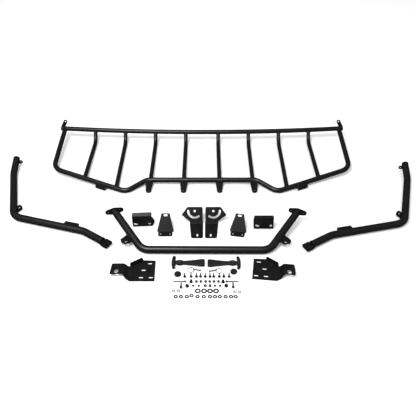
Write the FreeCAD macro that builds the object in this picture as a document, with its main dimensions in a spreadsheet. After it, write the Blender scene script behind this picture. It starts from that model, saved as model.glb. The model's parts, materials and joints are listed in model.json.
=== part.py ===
"""Front grille guard kit, laid out on the floor ready to be put together.

Millimetres, +Z up, +X to the right and +Y away from the small hardware, with the origin on the
floor below the middle of the layout. The big guard lies at the back, an arm lies at each side,
the centre bar and the brackets lie in the middle, and the fasteners lie in rows at the front.
"""

import FreeCAD
import Part
import Sketcher
import math
import os

V = FreeCAD.Vector
doc = FreeCAD.newDocument("grille_guard_kit")

DIMENSIONS = {
    # where the whole layout sits, so that the origin is under its middle
    "kit_shift_x": -28.4,
    "kit_shift_y": 13.5,
    # tube stock
    "guard_tube": 38.1,
    "bar_tube": 50.8,
    "upright_tube": 31.8,
    "tube_wall": 2.5,
    # guard outline, in the plane of the guard
    "guard_middle_x": -34.0,
    "guard_front_y": 101.0,
    "guard_tilt": 6.0,
    "top_half": 1198.0,
    "end_half": 1166.0,
    "top_reach": 747.0,
    "top_bow": 50.0,
    "corner_reach": 252.0,
    "dip_half": 570.0,
    "run_half": 424.0,
    "run_reach": 123.0,
    "corner_bend": 110.0,
    "dip_bend": 75.0,
    # uprights
    "upright_inner": 137.0,
    "upright_pitch": 256.0,
    "kick_run": 66.0,
    "kick_bend": 95.0,
    # guard fittings
    "tab_thick": 8.0,
    "tab_width": 32.0,
    "tab_length": 72.0,
    "tab_hole": 13.0,
    "tongue_width": 38.0,
    "tongue_root": 58.0,
    "tongue_length": 118.0,
    "tongue_depth": 20.0,
    "tongue_hole": 11.0,
    "keeper_length": 84.0,
    "keeper_width": 28.0,
    "keeper_out": 30.0,
    "keeper_depth": 24.0,
    "sheet_thick": 5.0,
    "plug_thick": 3.0,
    # side arms
    "arm_long": 545.0,
    "arm_tip": 174.0,
    "arm_tip_turn": 18.4,
    "arm_short": 518.0,
    "arm_short_turn": 121.2,
    "arm_top_run": 152.0,
    "arm_top_turn": 109.1,
    "arm_top_rise": 35.0,
    "arm_bend": 110.0,
    "arm_easy_bend": 160.0,
    "clevis_length": 58.0,
    "clevis_width": 62.0,
    "clevis_gap": 7.0,
    "clevis_hole": 10.5,
    "clevis_pitch": 24.0,
    "clevis_rise": -3.0,
    "saddle_length": 104.0,
    "saddle_middle": 438.0,
    # centre bar
    "bar_half": 424.0,
    "bar_arm_out": 218.0,
    "bar_arm_back": 308.0,
    "bar_arm_rise": 65.0,
    "bar_bend": 95.0,
    "flange_pitch": 84.0,
    "flange_lobe": 22.0,
    "flange_waist": 33.0,
    "flange_thick": 10.0,
    "flange_hole": 14.0,
    "ear_start": 92.0,
    "ear_end": 165.0,
    "ear_reach": 82.0,
    "ear_nose": 18.0,
    "ear_hole": 20.0,
    "ear_level": 11.0,
    "ear_drop": 24.0,
    # loose brackets
    "plate_thick": 6.0,
    "pivot_hole": 16.0,
    "pivot_hole_across": 14.0,
    "pivot_hole_up": 89.0,
    "pivot_slope": 130.0,
    "pivot_arc": 46.0,
    "pivot_slot": 14.0,
    "pivot_rise": 45.0,
    "pivot_leg": 142.0,
    "channel_foot": 46.0,
    "channel_face": 127.0,
    "channel_rise": 42.0,
    "channel_hole": 11.0,
    "channel_pitch": 66.0,
    "angle_width": 137.0,
    "angle_face": 88.0,
    "angle_slope": 30.0,
    "angle_slot": 17.0,
    "angle_hole": 18.0,
    "frame_slot_length": 30.0,
    "frame_slot_width": 13.0,
    "frame_ear_rise": 24.0,
    "frame_ear_hole": 26.0,
    # rubber latches
    "latch_length": 205.0,
    "latch_thick": 17.0,
    "latch_bulb": 40.0,
    "latch_bar": 24.0,
    "latch_bar_length": 102.0,
    # small hardware
    "puck_size": 44.0,
    "puck_thick": 11.0,
    "puck_hole": 7.0,
    "pin_size": 7.0,
    "pin_head": 12.0,
    "pin_head_thick": 4.0,
    "pin_length": 46.0,
    "pin_cross_hole": 4.6,
    "ring_size": 43.0,
    "ring_wire": 3.0,
    "bolt_shank": 8.0,
    "bolt_flats": 13.0,
    "bolt_head": 7.0,
    "bolt_flange": 18.0,
    "bolt_flange_thick": 2.0,
    "bolt_length": 30.0,
    "stub_length": 12.0,
    "depth_bolt_length": 34.0,
    "rod_shank": 6.0,
    "rod_flats": 10.0,
    "rod_flange": 14.0,
    "rod_length": 74.0,
    "nut_flats": 13.0,
    "nut_height": 8.0,
    "nut_bore": 8.0,
    "large_nut_flats": 17.0,
    "large_nut_height": 10.0,
    "large_nut_bore": 10.0,
    "cone_foot": 21.0,
    "cone_top": 11.0,
    "cone_height": 22.0,
    "cone_bore": 5.0,
    "cap_size": 23.0,
    "washer_size": 26.5,
    "washer_bore": 11.0,
    "washer_thick": 2.2,
    "large_washer_size": 36.0,
    "large_washer_bore": 18.0,
    "large_washer_thick": 3.0,
    "pale_washer_size": 24.0,
    "pale_washer_bore": 9.0,
}

sheet = doc.addObject("Spreadsheet::Sheet", "dims")
for row, (alias, value) in enumerate(DIMENSIONS.items(), start=1):
    sheet.set("A%d" % row, alias)
    sheet.set("B%d" % row, str(value))
    sheet.setAlias("B%d" % row, alias)
doc.recompute()

nodes = []
SIDES = ((-1, "left"), (1, "right"))

# Sizes of the tools that trim sheet or cut through it, all longer than anything they meet.
WIDE = 240.0
TALL = 120.0
DEEP = 40.0
UNDER = V(0, 0, -10)


def size(alias):
    """The value of one cell of the sheet."""
    return float(sheet.get(alias))


def bind(item, **formulas):
    """Tie properties of an object to cells: bind(box, Length="plate_thick")."""
    for name, formula in formulas.items():
        item.setExpression(name, formula)


def cell(alias):
    return "dims." + alias


def pose(origin=V(0, 0, 0), along=V(1, 0, 0), up=V(0, 0, 1)):
    """A placement at origin whose X lies along one direction and whose Z is nearest to another."""
    return FreeCAD.Placement(origin, FreeCAD.Rotation(along, V(0, 0, 0), up, "XZY"))


def turned(x, y, z, degrees=0.0):
    """A place in the layout, turned about the vertical."""
    spot = V(x + size("kit_shift_x"), y + size("kit_shift_y"), z)
    return FreeCAD.Placement(spot, FreeCAD.Rotation(V(0, 0, 1), degrees))


def polar(length, degrees, z=0.0):
    angle = math.radians(degrees)
    return V(length * math.cos(angle), length * math.sin(angle), z)


def node(label, item, place):
    """Make one named sub-part of an object built at the origin of its group."""
    item.Label = label
    item.Placement = place.multiply(item.Placement)
    nodes.append(item)
    return item


def cut(base, *tools):
    """The base less each tool."""
    for tool in tools:
        result = doc.addObject("Part::Cut", base.Name + "_cut")
        result.Base = base
        result.Tool = tool
        base = result
    return base


def fuse(*items):
    result = doc.addObject("Part::MultiFuse", items[0].Name + "_fused")
    result.Shapes = list(items)
    return result


def common(base, tool):
    result = doc.addObject("Part::Common", base.Name + "_common")
    result.Base = base
    result.Tool = tool
    return result


# ---------------------------------------------------------------- outlines and sheet metal


def rounded(corners, closed=True):
    """Edges through the corners, each a (point, radius), with a tangent arc at each radius."""
    points = [corner[0] for corner in corners]
    radii = [corner[1] for corner in corners]
    count = len(points)
    starts = list(points)
    ends = list(points)
    arcs = {}
    for index in range(count):
        if radii[index] <= 0 or (not closed and index in (0, count - 1)):
            continue
        here = points[index]
        incoming = (here - points[index - 1]).normalize()
        outgoing = (points[(index + 1) % count] - here).normalize()
        turn = incoming.getAngle(outgoing)
        setback = radii[index] * math.tan(turn / 2)
        starts[index] = here - incoming * setback
        ends[index] = here + outgoing * setback
        inside = (outgoing - incoming).normalize()
        middle = here + inside * (radii[index] / math.cos(turn / 2) - radii[index])
        arcs[index] = Part.Arc(starts[index], middle, ends[index])
    edges = []
    for index in range(count):
        if index in arcs:
            edges.append(arcs[index])
        following = (index + 1) % count
        if not closed and following == 0:
            break
        if (starts[following] - ends[index]).Length > 1e-6:
            edges.append(Part.LineSegment(ends[index], starts[following]))
    return edges


def flat(points, radius=0.0):
    """Corners of an outline, from (x, y) or (x, y, radius)."""
    return [(V(p[0], p[1], 0), p[2] if len(p) > 2 else radius) for p in points]


def pad(name, corners, depth, holes=()):
    """A body with one sketch, padded by a cell's length. Holes are (x, y, diameter cell)."""
    body = doc.addObject("PartDesign::Body", name)
    sketch = body.newObject("Sketcher::SketchObject", name + "_outline")
    planes = {plane.Role: plane for plane in body.Origin.OriginFeatures}
    sketch.AttachmentSupport = [(planes["XY_Plane"], "")]
    sketch.MapMode = "FlatFace"
    edges = rounded(corners) if isinstance(corners[0], tuple) else corners
    sketch.addGeometry(edges, False)
    for x, y, diameter in holes:
        circle = sketch.addGeometry(Part.Circle(V(x, y, 0), V(0, 0, 1), size(diameter) / 2))
        sketch.addConstraint(Sketcher.Constraint("DistanceX", -1, 1, circle, 3, x))
        sketch.addConstraint(Sketcher.Constraint("DistanceY", -1, 1, circle, 3, y))
        constraint = sketch.addConstraint(Sketcher.Constraint("Diameter", circle, size(diameter)))
        sketch.setExpression("Constraints[%d]" % constraint, cell(diameter))
    solid = body.newObject("PartDesign::Pad", name + "_pad")
    solid.Profile = sketch
    bind(solid, Length=depth)
    return body


def moved(item, place):
    item.Placement = place
    return item


def stadium(centre, length, width, degrees=0.0):
    """The outline of a slot: its overall length and width, and its direction."""
    along = polar(1, degrees)
    across = polar(1, degrees + 90)
    half = length / 2
    corners = [(-1, -1), (1, -1), (1, 1), (-1, 1)]
    spots = [V(centre[0], centre[1], 0) + along * (half * a) + across * (width / 2 * b) for a, b in corners]
    return [(spot, width / 2 - 0.001) for spot in spots]


def strip(name, spine, width, thick, radius):
    """Folded sheet: a line of corners in the YZ plane, given a thickness, and padded along X.

    spine lists (y, z) of the middle of the sheet and radius is the bend's, on that middle.
    """
    points = [V(y, z, 0) for y, z in spine]
    half = size(thick) / 2
    count = len(points)
    left = []
    right = []
    for index, point in enumerate(points):
        before = (point - points[index - 1]).normalize() if index else None
        after = (points[index + 1] - point).normalize() if index < count - 1 else None
        before = before or after
        after = after or before
        normal = (V(-before.y, before.x, 0) + V(-after.y, after.x, 0)).normalize()
        reach = half / normal.dot(V(-before.y, before.x, 0))
        turn = before.cross(after).z
        inner = radius - half if turn else 0.0
        outer = radius + half if turn else 0.0
        left.append((point + normal * reach, inner if turn > 0 else outer))
        right.append((point - normal * reach, outer if turn > 0 else inner))
    body = pad(name, left + right[::-1], width)
    body.Placement = pose(V(0, 0, 0), V(0, 1, 0), V(1, 0, 0))
    return body


def centred(body, width):
    """Shift a strip back by half its width, so that it straddles the YZ plane."""
    body.Placement.Base = V(-width / 2, 0, 0)
    return body


# ---------------------------------------------------------------- tubes


def sweep(name, path, edge_count, start, heading, diameter):
    """A round bar swept along a path, its diameter bound to a formula."""
    section = doc.addObject("Part::Circle", name + "_section")
    bind(section, Radius="(" + diameter + ") / 2")
    section.Placement = FreeCAD.Placement(start, FreeCAD.Rotation(V(0, 0, 1), heading))
    bar = doc.addObject("Part::Sweep", name)
    bar.Sections = [section]
    bar.Spine = (path, ["Edge%d" % (i + 1) for i in range(edge_count)])
    bar.Solid = True
    bar.Frenet = False
    return bar


def tube(name, corners, stock):
    """A bent tube: its outer bar and the bar that is its bore, as (outer, bore)."""
    edges = [edge.toShape() for edge in rounded(corners, closed=False)]
    return tube_on(name, edges, stock)


def tube_on(name, edges, stock):
    path = doc.addObject("Part::Feature", name + "_path")
    path.Shape = Part.Wire(edges)
    first = edges[0]
    start = first.valueAt(first.FirstParameter)
    heading = first.tangentAt(first.FirstParameter)
    outer = sweep(name + "_outer", path, len(edges), start, heading, cell(stock))
    bore_size = cell(stock) + " - 2 * dims.tube_wall"
    bore = sweep(name + "_bore", path, len(edges), start, heading, bore_size)
    return outer, bore


def cylinder(name, radius, height, place=None):
    item = doc.addObject("Part::Cylinder", name)
    bind(item, Radius=radius, Height=height)
    if place:
        item.Placement = place
    return item


def box(name, length, width, height, place=None):
    item = doc.addObject("Part::Box", name)
    bind(item, Length=length, Width=width, Height=height)
    if place:
        item.Placement = place
    return item


# ---------------------------------------------------------------- the guard


def guard_place():
    tilt = FreeCAD.Rotation(V(1, 0, 0), size("guard_tilt"))
    low = size("guard_tube") / 2
    spot = V(size("guard_middle_x"), size("guard_front_y"), low)
    return turned(0, 0, 0).multiply(FreeCAD.Placement(spot, tilt))


def bow_at(x):
    """How far the top tube has bowed forward at x, on its arc."""
    half = size("top_half")
    bow = size("top_bow")
    radius = (half * half + bow * bow) / (2 * bow)
    return math.sqrt(radius * radius - x * x) - (radius - bow)


def guard():
    """Top tube, hoop, uprights and fittings, in the plane of the guard with the dips at y = 0."""
    place = guard_place()
    half = size("top_half")
    back = size("top_reach")
    arc = Part.Arc(V(-half, back, 0), V(0, back - size("top_bow"), 0), V(half, back, 0))
    top, top_bore = tube_on("top", [arc.toShape()], "guard_tube")
    node("top_tube", cut(top, top_bore), place)

    end = size("end_half")
    corner = size("corner_reach")
    side = [
        (V(end, back - bow_at(end), 0), 0),
        (V(end, corner, 0), size("corner_bend")),
        (V(size("dip_half"), 0, 0), size("dip_bend")),
        (V(size("run_half"), size("run_reach"), 0), size("dip_bend")),
    ]
    other = [(V(-point.x, point.y, 0), radius) for point, radius in side[::-1]]
    hoop, hoop_bore = tube("hoop", side + other, "guard_tube")
    node("hoop_tube", cut(hoop, hoop_bore, top), place)

    uprights(place, top, hoop)
    corner_fittings(place, top)
    tongues(place, hoop)
    keepers(place, hoop)


def hoop_line(x):
    """Where the hoop's middle line crosses x, between its corners."""
    x = abs(x)
    if x <= size("run_half"):
        return size("run_reach")
    reach = size("corner_reach") * (x - size("dip_half")) / (size("end_half") - size("dip_half"))
    return max(reach, 0.0)


def uprights(place, top, hoop):
    """Eight inner uprights. Each lies flat from the hoop, then kicks up to the top tube."""
    tilt = math.radians(size("guard_tilt"))
    drop = (size("upright_tube") - size("guard_tube")) / 2
    index = 0
    for step in (-4, -3, -2, -1, 1, 2, 3, 4):
        index += 1
        x = math.copysign(size("upright_inner") + (abs(step) - 1) * size("upright_pitch"), step)
        back = size("top_reach") - bow_at(x)
        kick = back - size("kick_run")
        kick_drop = (drop - kick * math.sin(tilt)) / math.cos(tilt)
        corners = [
            (V(x, hoop_line(x), 0), 0),
            (V(x, kick, kick_drop), size("kick_bend")),
            (V(x, back, 0), 0),
        ]
        bar, bore = tube("upright_%d_bar" % index, corners, "upright_tube")
        node("upright_%d" % index, cut(bar, bore, top, hoop), place)


def corner_fittings(place, top):
    """At each end of the top tube, a plug in its mouth and a round-ended tab with a hole."""
    half = size("top_half")
    back = size("top_reach")
    bow = size("top_bow")
    bow_radius = (half * half + bow * bow) / (2 * bow)
    plugs = []
    tabs = []
    for side, word in SIDES:
        outward = V(side * (bow_radius - bow), half, 0)
        mouth = V(side * half, back, 0)
        plug = cylinder(
            "plug_" + word,
            "dims.guard_tube / 2",
            cell("plug_thick"),
            FreeCAD.Placement(mouth, FreeCAD.Rotation(V(0, 0, 1), outward)),
        )
        plugs.append(plug)
        width = size("tab_width")
        length = size("tab_length")
        nose = width / 2 - 0.01
        right = [(width / 2, 0), (width / 2, length, nose)]
        left = [(-width / 2, length, nose), (-width / 2, 0)]
        outline = flat(right + left)
        tab = pad("corner_" + word, outline, cell("tab_thick"), [(0, length - width / 2, "tab_hole")])
        lean = FreeCAD.Rotation(V(0, 1, 0), -side * 30).multiply(FreeCAD.Rotation(V(1, 0, 0), 78))
        root = V(side * (half - width / 2), back + size("tab_thick") / 2, size("guard_tube") / 2 - 4)
        tabs.append(cut(moved(tab, FreeCAD.Placement(root, lean)), top))
    node("top_plugs", fuse(*plugs), place)
    node("corner_tabs", fuse(*tabs), place)


def tongues(place, hoop):
    """Four hinge tongues under the hoop's middle run: channels with a tapered, rounded nose."""
    width = size("tongue_width")
    root = size("tongue_root")
    depth = size("tongue_depth")
    half_sheet = size("sheet_thick") / 2
    places = (size("upright_inner"), size("run_half") - 22)
    index = 0
    for x in (-places[1], -places[0], places[0], places[1]):
        index += 1
        name = "tongue_%d" % index
        reach = size("tongue_length")
        edge = root / 2 - half_sheet
        top = depth - half_sheet
        spine = [(-edge, 0), (-edge, top), (edge, top), (edge, 0)]
        channel = strip(name + "_strip", spine, cell("tongue_length"), "sheet_thick", 7.0)
        channel.Placement = pose(V(0, 0, 0), V(1, 0, 0), V(0, -1, 0))
        nose = width / 2 - 0.01
        outline = flat([(-root / 2, 0), (root / 2, 0), (width / 2, -reach, nose), (-width / 2, -reach, nose)])
        shape = pad(name + "_plan", outline, cell("tongue_depth"), [(0, -reach + width / 2, "tongue_hole")])
        tongue = common(channel, shape)
        droop = FreeCAD.Rotation(V(1, 0, 0), 9)
        spot = V(x, size("run_reach") - 6, -depth / 2)
        node("hinge_" + name, cut(moved(tongue, FreeCAD.Placement(spot, droop)), hoop), place)


def keepers(place, hoop):
    """Short channels under the outer runs of the hoop, one at each side."""
    across = size("end_half") - size("dip_half")
    slope = math.degrees(math.atan2(size("corner_reach"), across))
    half_sheet = size("sheet_thick") / 2
    edge = size("keeper_width") / 2 - half_sheet
    depth = size("keeper_depth") - half_sheet
    spine = [(-edge, 0), (-edge, depth), (edge, depth), (edge, 0)]
    for side, word in SIDES:
        x = side * (size("dip_half") + 0.33 * across)
        channel = strip("channel_" + word, spine, cell("keeper_length"), "sheet_thick", 6.0)
        spot = V(x, hoop_line(x) - size("keeper_out"), -size("guard_tube") / 2 + 2)
        turn = FreeCAD.Placement(spot, FreeCAD.Rotation(V(0, 0, 1), side * slope))
        back = V(-size("keeper_length") / 2, 0, 0)
        channel.Placement = turn.multiply(pose(back, V(0, 1, 0), V(1, 0, 0)))
        node("keeper_" + word, cut(channel, hoop), place)


# ---------------------------------------------------------------- side arms


def side_arm(side, word, place):
    """One side arm. The long run leaves the corner along X, and the short run goes back."""

    def at(x, y, z=0.0):
        return V(-side * x, y, z)

    long_run = size("arm_long")
    tip_turn = -size("arm_tip_turn")
    tip = V(long_run, 0, 0) + polar(size("arm_tip"), tip_turn)
    elbow = polar(size("arm_short"), size("arm_short_turn"))
    top = elbow + polar(size("arm_top_run"), size("arm_top_turn"), size("arm_top_rise"))
    corners = [
        (at(*tip), 0),
        (at(long_run, 0), size("arm_easy_bend")),
        (at(0, 0), size("arm_bend")),
        (at(*elbow), size("arm_easy_bend")),
        (at(*top), 0),
    ]
    bar, bore = tube("arm_%s_bar" % word, corners, "bar_tube")
    node("arm_tube_" + word, cut(bar, bore), place)
    node("arm_clevis_" + word, arm_clevis(word, at, tip, tip_turn), place)
    node("arm_corner_tab_" + word, arm_corner_tab(side, word, at, bar), place)
    node("arm_saddle_" + word, arm_saddle(word, at, bar), place)
    top_way = (top - elbow).normalize()
    node("arm_end_tab_" + word, arm_end_tab(word, at, top, top_way, bar), place)
    mouth = FreeCAD.Placement(at(*top), FreeCAD.Rotation(V(0, 0, 1), at(*top_way)))
    node("arm_plug_" + word, cylinder("mouth_" + word, "dims.bar_tube / 2", cell("plug_thick"), mouth), place)


def arm_clevis(word, at, tip, tip_turn):
    """At the arm's tip, a round end plate and a U of two level plates with two bolt holes."""
    thick = size("sheet_thick")
    half = (size("clevis_gap") + thick) / 2
    reach = size("clevis_length")
    spine = [(reach, half), (thick / 2, half), (thick / 2, -half), (reach, -half)]
    body = strip("clevis_" + word, spine, cell("clevis_width"), "sheet_thick", 5.0)
    way = at(*polar(1, tip_turn))
    across = V(0, 0, 1).cross(way)
    mouth = at(*tip) + way * thick
    low = V(0, 0, size("clevis_rise"))
    body.Placement = pose(mouth + low - across * (size("clevis_width") / 2), way, across)
    end_plate = cylinder("clevis_plate_" + word, "dims.bar_tube / 2 - 0.5", cell("sheet_thick"))
    end_plate.Placement = FreeCAD.Placement(at(*tip), FreeCAD.Rotation(V(0, 0, 1), way))
    holes = []
    for index in range(2):
        hole = cylinder("clevis_hole_%s_%d" % (word, index), "dims.clevis_hole / 2", "2 * dims.bar_tube")
        along = thick + 9 + index * size("clevis_pitch")
        hole.Placement.Base = mouth + way * along - V(0, 0, size("bar_tube"))
        holes.append(hole)
    return cut(fuse(body, end_plate), *holes)


def arm_corner_tab(side, word, at, bar):
    """An upright plate inside the corner, with a hole."""
    pad_way = at(*polar(1, 156)) * side
    outline = flat([(26, -20), (80, -20, 12), (80, 29, 20), (26, 29, 6)])
    tab = pad("inner_tab_" + word, outline, cell("tab_thick"), [(60, 6, "tab_hole")])
    tab.Placement = pose(at(-27, 33) - pad_way * (size("tab_thick") / 2), at(*polar(1, 66)), pad_way)
    return cut(tab, bar)


def arm_saddle(word, at, bar):
    """A flat trapezoid on the back of the long run."""
    length = size("saddle_length")
    outline = flat(
        [
            (-length / 2 - 8, 10),
            (length / 2 + 8, 10),
            (length / 2, 52, 6),
            (-length / 2, 52, 6),
        ]
    )
    saddle = pad("saddle_" + word, outline, cell("plate_thick"))
    saddle.Placement.Base = at(size("saddle_middle"), 0, 2)
    return cut(saddle, bar)


def arm_end_tab(word, at, top, top_way, bar):
    """A short plate across the arm near its top end, with a hole."""
    out = V(top_way.y, -top_way.x, 0).normalize()
    outline = flat([(12, -17), (54, -17, 14), (54, 17, 14), (12, 17)])
    tab = pad("top_tab_" + word, outline, cell("tab_thick"), [(40, 0, "tab_hole")])
    tab.Placement = pose(at(*(top - top_way * 46)), at(*out), at(*top_way))
    return cut(tab, bar)


# ---------------------------------------------------------------- centre bar


def centre_bar(place):
    """A straight bar with an arm swept back and up at each end, flanges and hinge ears."""
    half = size("bar_half")
    arm = V(size("bar_arm_out"), size("bar_arm_back"), size("bar_arm_rise"))
    ends = [V(side * (half + arm.x), arm.y, arm.z) for side, word in SIDES]
    corners = [
        (ends[0], 0),
        (V(-half, 0, 0), size("bar_bend")),
        (V(half, 0, 0), size("bar_bend")),
        (ends[1], 0),
    ]
    bar, bore = tube("bar", corners, "bar_tube")
    beyond = []
    for side, word in SIDES:
        flange, slab = bar_flange(side, word, ends[0 if side < 0 else 1])
        beyond.append(slab)
        node("bar_flange_" + word, flange, place)
        node("bar_ears_" + word, bar_ears(side, word, bar), place)
    node("bar_tube", cut(bar, bore, *beyond), place)


def bar_flange(side, word, end):
    """A two-hole lozenge flange across the arm's end, and a block for all beyond its back."""
    along = V(math.cos(math.radians(18)), -side * math.sin(math.radians(18)), 0)
    normal = V(side * math.sin(math.radians(18)), math.cos(math.radians(18)), 0.17).normalize()
    pitch = size("flange_pitch")
    slope = math.asin((size("flange_waist") - size("flange_lobe")) / (pitch / 2))
    half = pitch / 2 + size("flange_lobe") / math.sin(slope)
    waist = size("flange_waist") / math.cos(slope)
    outline = [
        (V(-half, 0, 0), size("flange_lobe")),
        (V(0, -waist, 0), size("flange_waist")),
        (V(half, 0, 0), size("flange_lobe")),
        (V(0, waist, 0), size("flange_waist")),
    ]
    holes = [(-pitch / 2, 0, "flange_hole"), (pitch / 2, 0, "flange_hole")]
    flange = pad("flange_" + word, outline, cell("flange_thick"), holes)
    base = end - normal * 6
    flange.Placement = pose(base, along, normal)
    slab = box("flange_back_" + word, str(WIDE), str(WIDE), str(TALL))
    corner = pose(base, along, normal).multVec(V(-WIDE / 2, -WIDE / 2, 0))
    slab.Placement = pose(corner, along, normal)
    return flange, slab


def bar_ears(side, word, bar):
    """A level lug on the outside of the arm, with a hinge hole and part of its edge turned down."""
    along = V(side * size("bar_arm_out"), size("bar_arm_back"), 0).normalize()
    start = size("ear_start")
    end = size("ear_end")
    reach = size("ear_reach")
    nose = size("ear_nose")
    corner = end - 17
    taper = 9.0 / (corner - start)

    def rim(at):
        return reach - taper * (corner - at)

    def lug(points):
        return flat([(p[0], -side * p[1]) + tuple(p[2:]) for p in points])

    hole = (start + nose, -side * (rim(start + nose) - nose), "ear_hole")
    plan = lug([(end, 20), (corner, reach, 5), (start, rim(start), nose), (start, 20)])
    plate = pad("ear_" + word, plan, cell("tab_thick"), [hole])
    thick = size("tab_thick")
    fold = start + 2 * nose
    edge = lug([(fold, rim(fold) - thick), (corner, reach - thick), (corner, reach, 5), (fold, rim(fold))])
    skirt = pad("ear_skirt_" + word, edge, cell("ear_drop"))
    root = V(side * size("bar_half"), 0, size("ear_level"))
    plate.Placement = pose(root, along)
    skirt.Placement = pose(root - V(0, 0, size("ear_drop") - thick), along)
    return cut(fuse(plate, skirt), bar)


# ---------------------------------------------------------------- loose brackets


def arc_slot(centre, radius, width, first, last):
    """Edges of a curved slot about a centre, between two directions."""
    half = width / 2
    middle = (first + last) / 2

    def on(reach, degrees):
        return V(centre[0], centre[1], 0) + polar(reach, degrees)

    cap = math.degrees(half / radius)
    return [
        Part.Arc(on(radius + half, first), on(radius + half, middle), on(radius + half, last)),
        Part.Arc(on(radius + half, last), on(radius, last + cap), on(radius - half, last)),
        Part.Arc(on(radius - half, last), on(radius - half, middle), on(radius - half, first)),
        Part.Arc(on(radius - half, first), on(radius, first - cap), on(radius + half, first)),
    ]


def mirrored(points, side):
    """An outline for one hand: the right hand is the left one with x turned round."""
    return [(-side * point[0],) + tuple(point[1:]) for point in points]


def pivot_plate(side, word, place):
    """A foot flat on the floor and a raised plate with a pivot hole and an arc slot."""
    leg = size("pivot_leg")
    rise = math.radians(size("pivot_rise"))
    middle = size("plate_thick") / 2
    slope = size("pivot_slope")
    spine = [(-leg, middle), (0, middle), (slope * math.cos(rise), middle + slope * math.sin(rise))]
    sheet_body = centred(strip("pivot_strip_" + word, spine, str(WIDE), "plate_thick", 14.0), WIDE)
    foot_corners = [(-36, -leg, 14), (45, -leg, 14), (45, -8), (45, 9), (-48, 9), (-48, -8)]
    foot = flat(mirrored(foot_corners, side))
    foot_prism = pad("pivot_foot_" + word, foot, str(TALL))
    foot_prism.Placement.Base = UNDER
    raised = flat(
        mirrored([(-48, -6), (43, -6), (43, 119, 12), (-66, 119, 14), (-108, 62, 5), (-48, 16, 6)], side)
    )
    raised_prism = pad("pivot_raised_" + word, raised, str(DEEP))
    tilt = FreeCAD.Rotation(V(1, 0, 0), size("pivot_rise"))
    raised_prism.Placement = FreeCAD.Placement(V(0, 0, middle) - tilt.multVec(V(0, 0, DEEP / 2)), tilt)
    plate = common(sheet_body, fuse(foot_prism, raised_prism))
    hole_x = side * size("pivot_hole_across")
    hole_y = size("pivot_hole_up")
    radius = size("pivot_arc")
    first, last = (178, 308) if side < 0 else (232, 362)
    slot_edges = arc_slot((hole_x, hole_y), radius, size("pivot_slot"), first, last)
    slot = pad("pivot_slot_" + word, slot_edges, str(DEEP))
    slot.Placement = raised_prism.Placement
    hole = cylinder("pivot_hole_" + word, "dims.pivot_hole / 2", str(DEEP))
    hole_spot = FreeCAD.Placement(V(hole_x, hole_y, 0), FreeCAD.Rotation())
    hole.Placement = raised_prism.Placement.multiply(hole_spot)
    foot_slot = pad("pivot_foot_slot_" + word, stadium((-side * 6, -leg + 27), 30, 13, 90), str(DEEP))
    foot_slot.Placement.Base = UNDER
    node("pivot_plate_" + word, cut(plate, slot, hole, foot_slot), place)


def channel_bracket(word, place):
    """A two-hole foot, a sloping face that narrows to a slotted top, and a wall under each edge."""
    foot = size("channel_foot")
    face = size("channel_face")
    rise = math.radians(size("channel_rise"))
    thick = size("sheet_thick")
    spine = [(-foot, thick / 2), (0, thick / 2), (face * math.cos(rise), thick / 2 + face * math.sin(rise))]
    sheet_body = centred(strip("channel_strip_" + word, spine, str(WIDE), "sheet_thick", 9.0), WIDE)
    back = face * math.cos(rise)
    wide = 58
    narrow = 27
    right = [(49, -foot, 12), (49, -3), (wide, 1, 4), (narrow, back + 5, 14)]
    outline = flat(right + [(-p[0],) + tuple(p[1:]) for p in right[::-1]])
    prism = pad("channel_plan_" + word, outline, str(TALL))
    prism.Placement.Base = UNDER
    parts = [common(sheet_body, prism)]
    wall_back = back - 26
    edge_slope = (wide - narrow) / back
    height = wall_back * math.tan(rise)
    for side, hand in SIDES:
        outline = flat([(6, 0), (wall_back, 0), (wall_back, height + 1), (6, 4)])
        wall = pad("channel_wall_%s_%s" % (word, hand), outline, cell("sheet_thick"))
        along = V(-side * edge_slope, 1, 0).normalize()
        start = V(wide, 0, 0) if side > 0 else V(thick - wide, 0, 0)
        wall.Placement = pose(start - V(thick, 0, 0), along, along.cross(V(0, 0, 1)))
        parts.append(wall)
    tilt = FreeCAD.Rotation(V(1, 0, 0), size("channel_rise"))
    slot = pad("channel_slot_" + word, stadium((0, face - 14), 28, 13), str(DEEP))
    slot.Placement = FreeCAD.Placement(V(0, 0, thick / 2) - tilt.multVec(V(0, 0, DEEP / 2)), tilt)
    holes = []
    for side, hand in SIDES:
        hole = cylinder("channel_hole_%s_%s" % (word, hand), "dims.channel_hole / 2", str(DEEP))
        hole.Placement.Base = V(side * size("channel_pitch") / 2, -foot * 0.55, 0) + UNDER
        holes.append(hole)
    node("channel_bracket_" + word, cut(fuse(*parts), slot, *holes), place)


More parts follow.
